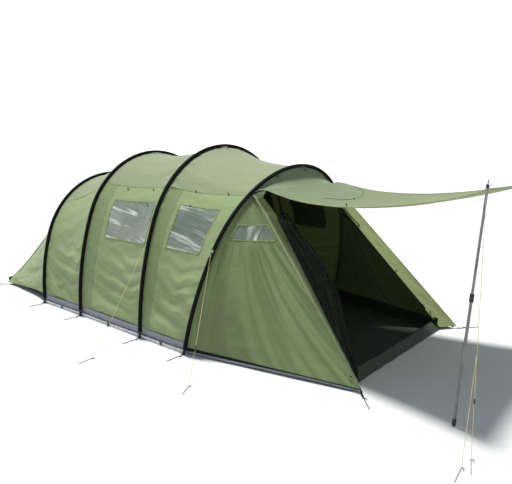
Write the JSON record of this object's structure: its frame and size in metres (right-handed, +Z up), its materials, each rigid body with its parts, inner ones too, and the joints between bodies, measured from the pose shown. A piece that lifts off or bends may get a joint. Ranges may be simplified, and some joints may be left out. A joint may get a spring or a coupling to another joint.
{
  "type": "tunnel tent",
  "caption": "Tunnel tent on arched hoops with clear side windows, a sloping front vestibule and its door raised as an awning on two telescopic props.",
  "frame": {"origin": "on the ground under the middle of the tent, guy lines not counted", "axes": "+Z up, -Y towards the door end, +X to the right when seen from outside the door looking in"},
  "size_m": [3.9347, 7.4735, 2.117],
  "materials": {
    "fly_fabric": "woven polyester with a coated back",
    "roof_fabric": "woven polyester, lighter panel",
    "vestibule_fabric": "woven polyester, darker panel",
    "awning_fabric": "woven polyester, door panel",
    "dark_webbing": "woven webbing and sleeve fabric",
    "grey_webbing": "woven polyester webbing",
    "mud_fabric": "coated groundsheet fabric",
    "sill_fabric": "coated fabric",
    "floor_sheet": "woven polyethylene sheet",
    "inner_fabric": "breathable inner tent fabric",
    "mesh_fabric": "insect mesh and curtain fabric",
    "window_film": "clear flexible film",
    "fibreglass": "pultruded rod",
    "steel": "zinc plated",
    "prop_tube": "grey coated tube",
    "black_plastic": "moulded",
    "guy_cord": "braided cord"
  },
  "bodies": {
    "tent": {"hoop_pole_1": "fibreglass", "hoop_pole_2": "fibreglass", "hoop_pole_3": "fibreglass", "hoop_pole_4": "fibreglass", "pole_ferrules": "steel", "ground_pegs": "steel", "hoop_sleeves": "dark_webbing", "guy_loops": "dark_webbing", "hoop_feet": "black_plastic", "strap_buckles": "black_plastic", "tie_toggles": "black_plastic", "door_zip_tapes": "black_plastic", "wall_panel_rear_left": "fly_fabric", "wall_panel_rear_right": "fly_fabric", "wall_panel_mid_left": "fly_fabric", "wall_panel_mid_right": "fly_fabric", "wall_panel_front_left": "fly_fabric", "wall_panel_front_right": "fly_fabric", "rear_gusset_left": "fly_fabric", "rear_gusset_right": "fly_fabric", "roof_panel_rear": "roof_fabric", "roof_panel_mid": "roof_fabric", "roof_panel_front": "roof_fabric", "rear_slope_panel": "roof_fabric", "vestibule_side_left": "vestibule_fabric", "vestibule_side_right": "vestibule_fabric", "vestibule_front_left": "vestibule_fabric", "vestibule_front_right": "vestibule_fabric", "header_panel": "awning_fabric", "webbing_straps": "grey_webbing", "mud_valances": "mud_fabric", "door_sill": "sill_fabric", "groundsheet": "floor_sheet", "inner_floor": "floor_sheet", "inner_front_wall": "inner_fabric", "inner_side_walls": "inner_fabric", "inner_roof": "inner_fabric", "rolled_doors": "mesh_fabric", "windows_left": "window_film", "windows_right": "window_film", "guy_line_rear": "guy_cord", "guy_line_front": "guy_cord", "guy_line_prop": "guy_cord", "guy_line_branch": "guy_cord", "guy_pegs_and_ring": "steel"},
    "awning": {"awning_panel": "awning_fabric", "awning_hem": "awning_fabric"},
    "prop_left": {"prop_lower_tube_left": "prop_tube", "prop_foot_and_collar_left": "black_plastic"},
    "prop_left_upper": {"prop_upper_tube_left": "prop_tube", "prop_head_and_tab_left": "black_plastic"},
    "prop_right": {"prop_lower_tube_right": "prop_tube", "prop_foot_and_collar_right": "black_plastic"},
    "prop_right_upper": {"prop_upper_tube_right": "prop_tube", "prop_head_and_tab_right": "black_plastic"},
    "door_slider_left": {"door_zip_slider_left": "black_plastic"},
    "door_slider_right": {"door_zip_slider_right": "black_plastic"},
    "runner_rear": {"guy_runner_rear": "black_plastic"},
    "runner_front": {"guy_runner_front": "black_plastic"},
    "runner_prop": {"guy_runner_prop": "black_plastic"}
  },
  "joints": [
    {"name": "awning_hinge", "type": "hinge", "parent": "tent", "child": "awning", "pos_m": [0, -1.345, 1.652], "axis": [1, 0, 0], "range_deg": [0, 49]},
    {"name": "prop_left_lean", "type": "hinge", "parent": "tent", "child": "prop_left", "pos_m": [-1.175, -3.499, 0.015], "axis": [1, 0, 0], "range_deg": [0, 84.5]},
    {"name": "prop_left_slide", "type": "slide", "parent": "prop_left", "child": "prop_left_upper", "axis": [0, -0.0732, 0.9973], "range_m": [-0.6, 0]},
    {"name": "prop_right_lean", "type": "hinge", "parent": "tent", "child": "prop_right", "pos_m": [1.175, -3.499, 0.015], "axis": [1, 0, 0], "range_deg": [0, 84.5]},
    {"name": "prop_right_slide", "type": "slide", "parent": "prop_right", "child": "prop_right_upper", "axis": [0, -0.0732, 0.9973], "range_m": [-0.6, 0]},
    {"name": "door_zip_left", "type": "slide", "parent": "tent", "child": "door_slider_left", "axis": [0.1852, 0.6333, 0.7514], "range_m": [0, 1.5]},
    {"name": "door_zip_right", "type": "slide", "parent": "tent", "child": "door_slider_right", "axis": [-0.1852, 0.6333, 0.7514], "range_m": [0, 1.5]},
    {"name": "guy_runner_rear_slide", "type": "slide", "parent": "tent", "child": "runner_rear", "axis": [-0.6115, -0.069, -0.7883], "range_m": [-0.25, 0.2]},
    {"name": "guy_runner_front_slide", "type": "slide", "parent": "tent", "child": "runner_front", "axis": [-0.5226, -0.2773, -0.8062], "range_m": [-0.25, 0.2]},
    {"name": "guy_runner_prop_slide", "type": "slide", "parent": "tent", "child": "runner_prop", "axis": [-0.2007, -0.0698, -0.9772], "range_m": [-0.2, 0.25]}
  ]
}
